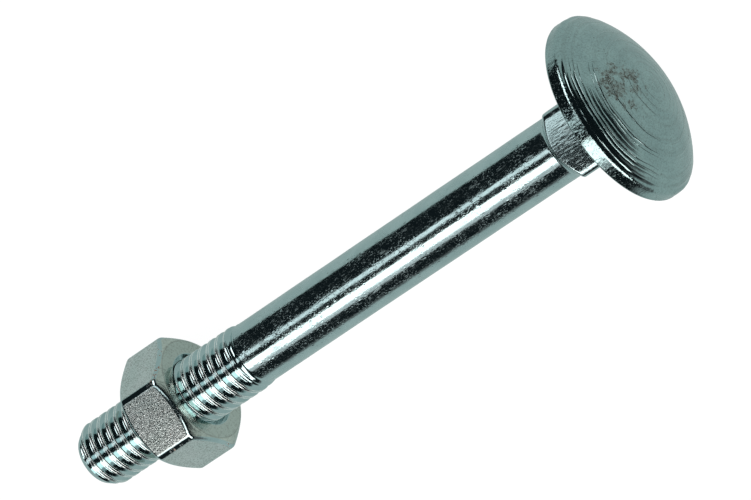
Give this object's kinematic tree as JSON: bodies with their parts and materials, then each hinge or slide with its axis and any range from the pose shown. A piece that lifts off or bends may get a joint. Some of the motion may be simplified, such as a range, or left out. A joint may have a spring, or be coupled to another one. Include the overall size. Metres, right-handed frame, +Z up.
{
  "type": "carriage bolt",
  "caption": "Zinc-plated carriage bolt with a domed round head, a square neck and a plain shank, with a hexagon nut run on its threaded end.",
  "frame": {"origin": "centre of the head's bearing face, on the bolt's axis", "axes": "+Z up with the bolt lying on its head's rim and one flat of the nut; +X towards the head, level; the bolt's axis rises 3.68 degrees towards the head; +Y across"},
  "size_m": [0.063, 0.0164, 0.0164],
  "materials": {
    "bolt": "bright zinc plate",
    "nut": "bright zinc plate, duller flats"
  },
  "bodies": {
    "bolt": {"bolt": "bolt"},
    "nut": {"nut": "nut"}
  },
  "joints": [
    {"name": "nut_travel", "type": "slide", "parent": "bolt", "child": "nut", "axis": [-0.9979, 0, -0.0642], "range_m": [-0.005, 0.014]}
  ]
}
